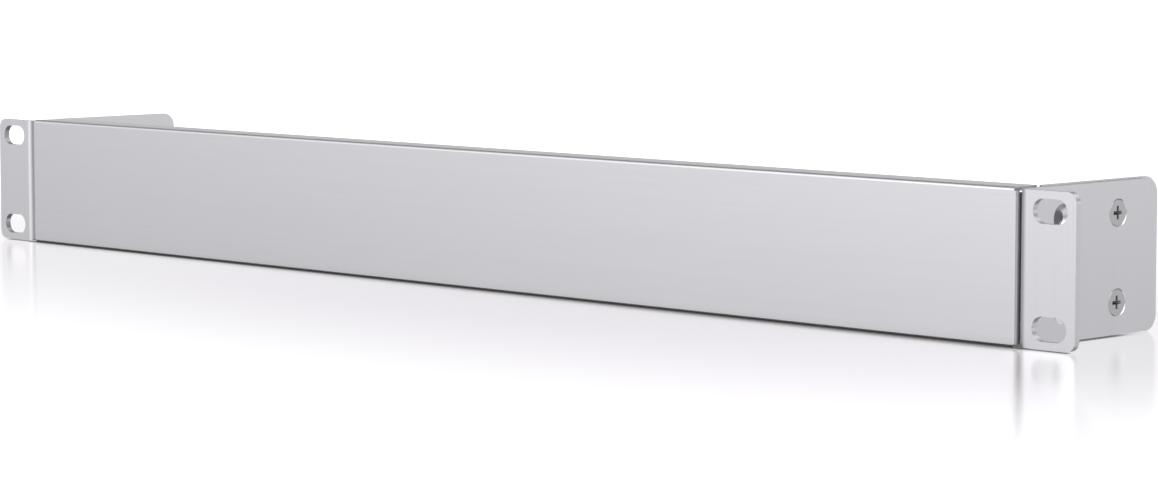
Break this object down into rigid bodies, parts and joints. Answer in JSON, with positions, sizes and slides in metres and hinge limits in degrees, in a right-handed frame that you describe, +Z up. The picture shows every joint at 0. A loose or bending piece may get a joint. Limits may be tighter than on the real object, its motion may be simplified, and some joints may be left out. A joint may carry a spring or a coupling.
{
  "type": "rack blanking panel",
  "caption": "Rack blanking panel: a folded sheet-metal tray with a plain face, held between slotted L-shaped ear brackets by countersunk screws in tapped collars.",
  "frame": {"origin": "bottom centre of the bounding box, on the surface that the panel stands on", "axes": "+X along the width to the right seen from the front, +Y from the front face to the back, +Z up"},
  "size_m": [0.4826, 0.0628, 0.0437],
  "materials": {
    "panel_steel": "satin",
    "bracket_steel": "satin",
    "screw_steel": "satin"
  },
  "bodies": {
    "root": {"front_panel": "panel_steel", "left_bracket": "bracket_steel", "right_bracket": "bracket_steel", "left_screw_upper": "screw_steel", "left_screw_lower": "screw_steel", "right_screw_upper": "screw_steel", "right_screw_lower": "screw_steel"}
  },
  "joints": []
}
